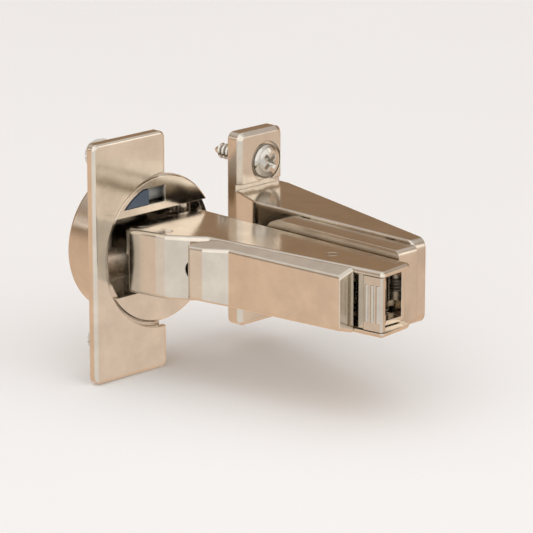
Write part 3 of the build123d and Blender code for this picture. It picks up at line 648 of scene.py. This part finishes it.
class MakeDowels(bpy.types.Operator):
    """Turns the two barbed dowels and slits them so that the wedges can spread them"""
    bl_idname = "hinge.make_dowels"
    bl_label = "Dowels"

    def execute(self, context):
        look = context.scene.hinge_finish
        fine = context.scene.hinge_fine
        dowel = lathe_y("dowel_upper", DOWEL_PROFILE, DOWEL_STEPS)
        size = (SLIT_LENGTH, SLIT_LENGTH, fine.slit_width / MM)
        cut_away(dowel, tapered_bar("dowel_slit", size, SLIT_AT, -1, SLIT_TAPER))
        smoothed(dowel)
        nylon = moulded_plastic("dowel_nylon", look.dowel, rough=0.5)
        across, up = DOWEL_AT
        lower = copied(dowel, "dowel_lower", (across * MM, 0, -up * MM))
        dowel.location = (across * MM, 0, up * MM)
        for piece in (done(dowel), lower):
            stands_for(piece, "cup", nylon, "pale_plastic", "fixing_dowels")
        return {"FINISHED"}


class FinishFlange(bpy.types.Operator):
    """Plates the smooth flange cover"""
    bl_idname = "hinge.finish_flange"
    bl_label = "Flange Cover"

    def execute(self, context):
        look = context.scene.hinge_finish
        cover = plated_metal(
            "flange_nickel", look.cover, look.roughness * 0.75, grain=1200, bump=0.00001,
            wave=-0.00006)
        give(cover, "flange_cover")
        return {"FINISHED"}


# Stage
def aimed(name, data, place, target):
    """A lamp or camera at its place, turned to the target."""
    obj = bpy.data.objects.new(name, data)
    bpy.context.collection.objects.link(obj)
    obj.location = place
    obj.rotation_euler = (target - Vector(place)).to_track_quat("-Z", "Y").to_euler()
    return obj


def lamp(name, place, size, power, tint, target):
    """Soft rectangular lamp that the camera doesn't see."""
    data = bpy.data.lights.new(name, "AREA")
    data.shape = "RECTANGLE"
    data.size, data.size_y = size
    data.energy = power
    data.color = tint
    aimed(name, data, place, target).visible_camera = False


def pale_floor(height):
    """Pale matt floor, hidden from reflections."""
    bpy.ops.mesh.primitive_plane_add(size=FLOOR_SIDE, location=(0, 0, height))
    floor = rename(bpy.context.object, "floor")
    material, tree, shader = empty_material("pale_floor")
    clouds = noise(tree, object_space(tree), FLOOR_SCALE, 3)
    tone = mixed(tree, ranged(tree, clouds, 0, 1), *FLOOR_TONES)
    tree.links.new(tone, shader.inputs["Base Color"])
    shader.inputs["Roughness"].default_value = FLOOR_ROUGHNESS
    floor.data.materials.append(material)
    floor.visible_glossy = False


def room_light(world, level):
    """Warm wall on one side, a pale room on the other, a white ceiling, and a pale backdrop."""
    world.use_nodes = True
    tree = world.node_tree
    direction = add_node(tree, "ShaderNodeTexCoord").outputs["Generated"]
    toward = add_node(tree, "ShaderNodeVectorMath", operation="DOT_PRODUCT")
    toward.inputs[1].default_value = WALL_SIDE
    tree.links.new(direction, toward.inputs[0])
    split = add_node(tree, "ShaderNodeSeparateXYZ")
    tree.links.new(direction, split.inputs[0])
    height = split.outputs["Z"]
    wall = mixed(tree, ranged(tree, height, 0, 1, *SHADE_BLEND), ROOM_WARM, ROOM_SHADE)
    sides = mixed(tree, ranged(tree, toward.outputs["Value"], 0, 1, *WALL_BLEND), ROOM_PALE, wall)
    room = mixed(tree, ranged(tree, height, 0, 1, *CEILING_BLEND), sides, ROOM_CEILING)
    seen = add_node(tree, "ShaderNodeLightPath").outputs["Is Camera Ray"]
    back = tree.nodes["Background"]
    tree.links.new(mixed(tree, seen, room, BACKDROP), back.inputs["Color"])
    back.inputs["Strength"].default_value = level


class BuildStage(bpy.types.Operator):
    """Sets the floor, the soft lamps, the room light and the camera"""
    bl_idname = "hinge.build_stage"
    bl_label = "Stage, Lamps and Camera"

    def execute(self, context):
        look = context.scene.hinge_studio
        pale_floor(CAD_LOW[2] - look.floor_drop)
        context.scene.world = bpy.data.worlds.new("room")
        room_light(context.scene.world, look.world_level)
        middle = Vector([value * MM for value in LOOK_AT])
        for name, place, size, power, tint in LAMPS:
            lamp(name, place, size, getattr(look, power), tint, middle)
        data = bpy.data.cameras.new("photo_view")
        data.lens = look.lens
        data.clip_start = CLIP_START
        context.scene.camera = aimed("photo_view", data, Vector(CAMERA_AT) * MM, middle)
        context.scene.view_settings.view_transform = "Standard"
        return {"FINISHED"}


class HingePanel(bpy.types.Panel):
    """Lists the hinge's settings and steps in the sidebar"""
    bl_idname = "VIEW3D_PT_hinge_finish"
    bl_label = "Concealed Hinge"
    bl_space_type = "VIEW_3D"
    bl_region_type = "UI"
    bl_category = "Hinge"

    def draw(self, context):
        for name, kind in GROUPS.items():
            for key in kind.__annotations__:
                self.layout.prop(getattr(context.scene, name), key)
        for operator in STEPS:
            self.layout.operator(operator.bl_idname)


GROUPS = {
    "hinge_finish": HingeFinish,
    "hinge_fine": HingeFineParts,
    "hinge_studio": HingeStudio,
}
STEPS = (
    FinishBracket, MakeBracketScrews, FinishRail, FinishArm, FinishLinks, FinishCup, MakeDowels,
    FinishFlange, BuildStage,
)
CLASSES = tuple(GROUPS.values()) + STEPS + (HingePanel,)


def register():
    for cls in CLASSES:
        bpy.utils.register_class(cls)
    for name, kind in GROUPS.items():
        setattr(bpy.types.Scene, name, bpy.props.PointerProperty(type=kind))


def unregister():
    for name in GROUPS:
        delattr(bpy.types.Scene, name)
    for cls in reversed(CLASSES):
        bpy.utils.unregister_class(cls)


def main():
    register()
    for step in STEPS:
        group, name = step.bl_idname.split(".")
        getattr(getattr(bpy.ops, group), name)()


if __name__ == "__main__":
    main()
